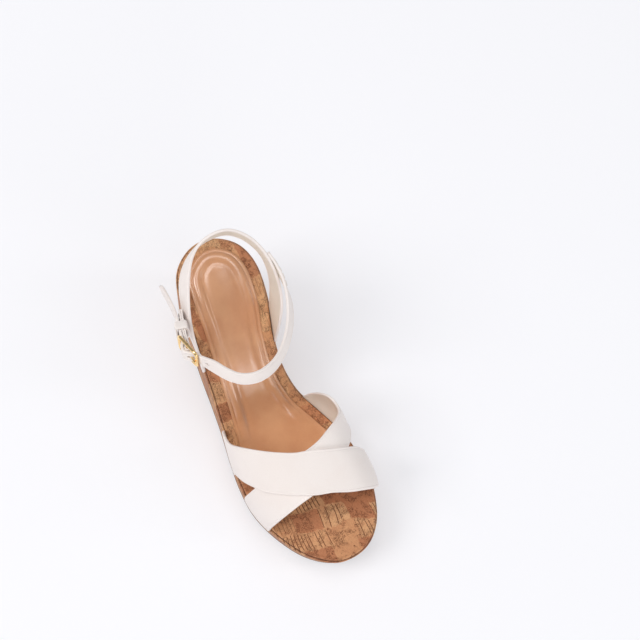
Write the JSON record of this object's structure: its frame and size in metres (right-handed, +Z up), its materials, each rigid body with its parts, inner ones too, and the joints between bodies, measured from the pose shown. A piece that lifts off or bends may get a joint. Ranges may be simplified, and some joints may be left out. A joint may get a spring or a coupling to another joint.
{
  "type": "wedge sandal",
  "caption": "Women's cork wedge sandal with a flat platform toe, crossed vamp straps, a heel strap and a buckled ankle strap.",
  "frame": {"origin": "centre of the bounding box seen from above, on the floor under the outsole", "axes": "+Y towards the toe, +X towards the outer side of a right foot (the buckle side), +Z up"},
  "size_m": [0.0952, 0.236, 0.148],
  "materials": {
    "outsole_rubber": "matte",
    "wedge_foam": "matte",
    "cork_side": "matte cork",
    "steel": "satin",
    "board": "matte",
    "layer_foam": "matte",
    "cork_top": "matte cork",
    "sock_leather": "semi-gloss",
    "strap_leather": "smooth, satin",
    "strap_lining": "matte",
    "thread": "matte",
    "buckle_gold": "polished, pale gold"
  },
  "bodies": {
    "shoe": {"outsole": "outsole_rubber", "wedge_core": "wedge_foam", "cork_wrap": "cork_side", "shank": "steel", "shank_rivets": "steel", "insole_board": "board", "footbed_foam": "layer_foam", "cork_footbed": "cork_top", "sock_foam": "layer_foam", "sock_lining": "sock_leather", "vamp_under": "strap_leather", "vamp_under_lining": "strap_lining", "vamp_over": "strap_leather", "vamp_over_lining": "strap_lining", "heel_strap": "strap_leather", "heel_strap_lining": "strap_lining", "ankle_strap": "strap_leather", "ankle_strap_lining": "strap_lining", "ankle_seam": "thread", "strap_end": "strap_leather", "strap_end_lining": "strap_lining", "buckle_tab": "strap_leather", "tab_seam": "thread"},
    "buckle": {"buckle_frame": "buckle_gold", "buckle_bar": "buckle_gold"},
    "prong": {"buckle_prong": "buckle_gold"},
    "keeper": {"keeper": "strap_leather"}
  },
  "joints": [
    {"name": "buckle_pivot", "type": "hinge", "parent": "shoe", "child": "buckle", "pos_m": [0.04297, -0.047, 0.1293], "axis": [-0.0424, -0.3582, 0.9327], "range_deg": [-4, 4], "deforming": ["strap_end", "strap_end_lining"]},
    {"name": "prong_pivot", "type": "hinge", "parent": "buckle", "child": "prong", "pos_m": [0.04297, -0.047, 0.1293], "axis": [0.0424, 0.3582, -0.9327], "range_deg": [0, 95], "deforming": ["strap_end", "strap_end_lining"]},
    {"name": "keeper_slide", "type": "slide", "parent": "shoe", "child": "keeper", "axis": [0.2718, 0.8942, 0.3557], "range_m": [-0.002, 0.002]}
  ]
}
